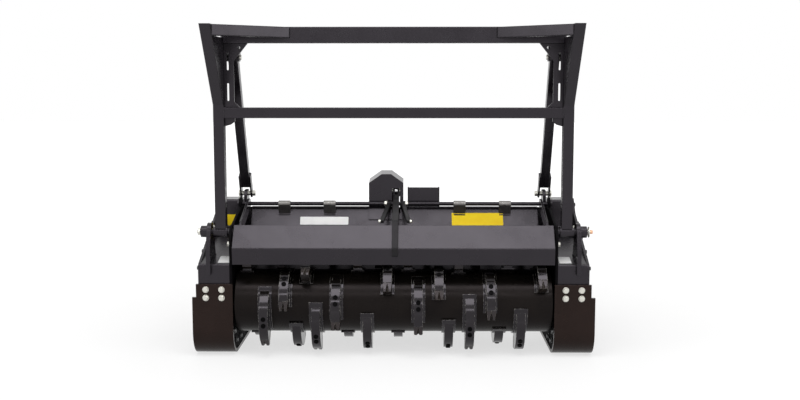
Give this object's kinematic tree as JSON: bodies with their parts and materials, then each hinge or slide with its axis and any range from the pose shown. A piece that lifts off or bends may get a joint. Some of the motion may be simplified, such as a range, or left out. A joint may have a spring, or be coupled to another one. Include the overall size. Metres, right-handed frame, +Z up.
{
  "type": "drum mulcher",
  "caption": "Skid-steer drum mulcher: a horizontal toothed rotor in an open-fronted housing with skids, a hydraulic front door and a folding push frame braced to the rear.",
  "frame": {"origin": "centre of the footprint on the floor, under the middle of the bounding box", "axes": "+X along the rotor to the right as seen from the front, +Y back to the carrier, +Z up"},
  "size_m": [1.934, 0.9714, 1.58],
  "materials": {
    "black_coat": "semi-gloss powder coat",
    "worn_coat": "semi-gloss, lightly worn",
    "rotor_coat": "satin, worn",
    "tooth_steel": "worn bare steel",
    "zinc_steel": "zinc plated",
    "cast_body": "painted casting",
    "chrome_rod": "polished"
  },
  "bodies": {
    "housing": {"inner_plates": "black_coat", "outer_plates": "black_coat", "side_covers": "black_coat", "bearings": "cast_body", "skids": "worn_coat", "chamber_shell": "black_coat", "counter_knife": "tooth_steel", "hood_deck": "black_coat", "hood_ends": "black_coat", "hinge_rod": "black_coat", "hinge_knuckles": "black_coat", "cylinder_shield": "black_coat", "hose_guard": "black_coat", "hydraulic_ports": "zinc_steel", "cylinder_anchor": "black_coat", "anchor_pin": "zinc_steel", "pivot_ears": "black_coat", "pivot_pins": "black_coat", "brace_saddles": "black_coat", "attach_plate": "black_coat", "frame_ribs": "black_coat", "hydraulic_motor": "cast_body"},
    "rotor": {"rotor_tube": "rotor_coat", "rotor_ends": "rotor_coat", "tooth_holders": "rotor_coat", "planer_teeth": "tooth_steel"},
    "door": {"door_plate": "black_coat", "door_arms": "black_coat", "door_lever": "black_coat", "lever_pin": "zinc_steel", "door_yoke": "black_coat"},
    "cylinder_barrel": {"cylinder_barrel": "black_coat"},
    "cylinder_rod": {"cylinder_rod": "chrome_rod"},
    "guard": {"guard_posts": "black_coat", "guard_sleeves": "black_coat", "guard_webs": "black_coat", "guard_gussets": "black_coat", "guard_corner_struts": "black_coat", "guard_mid_bar": "black_coat", "guard_top_bar": "black_coat", "braces": "black_coat", "brace_pins": "zinc_steel", "brace_lugs": "black_coat"}
  },
  "joints": [
    {"name": "rotor_spin", "type": "hinge", "parent": "housing", "child": "rotor", "pos_m": [0, -0.06535, 0.252], "axis": [1, 0, 0], "continuous": true},
    {"name": "door_swing", "type": "hinge", "parent": "housing", "child": "door", "pos_m": [0, 0.13165, 0.708], "axis": [-1, 0, 0], "range_deg": [0, 40]},
    {"name": "door_barrel_pitch", "type": "hinge", "parent": "housing", "child": "cylinder_barrel", "pos_m": [0, 0.42965, 0.742], "axis": [1, 0, 0], "range_deg": [0, 11.59]},
    {"name": "door_rod_slide", "type": "slide", "parent": "cylinder_barrel", "child": "cylinder_rod", "axis": [0, 0.9934, -0.1149], "range_m": [0, 0.03029]},
    {"name": "guard_fold", "type": "hinge", "parent": "housing", "child": "guard", "pos_m": [0, -0.16035, 0.606], "axis": [1, 0, 0], "range_deg": [0, 75]}
  ],
  "couplings": [
    {"joint": "door_barrel_pitch", "follows": "door_swing", "ratio": 0.2893},
    {"joint": "door_rod_slide", "follows": "door_swing", "m_per_rad": 0.04334}
  ]
}
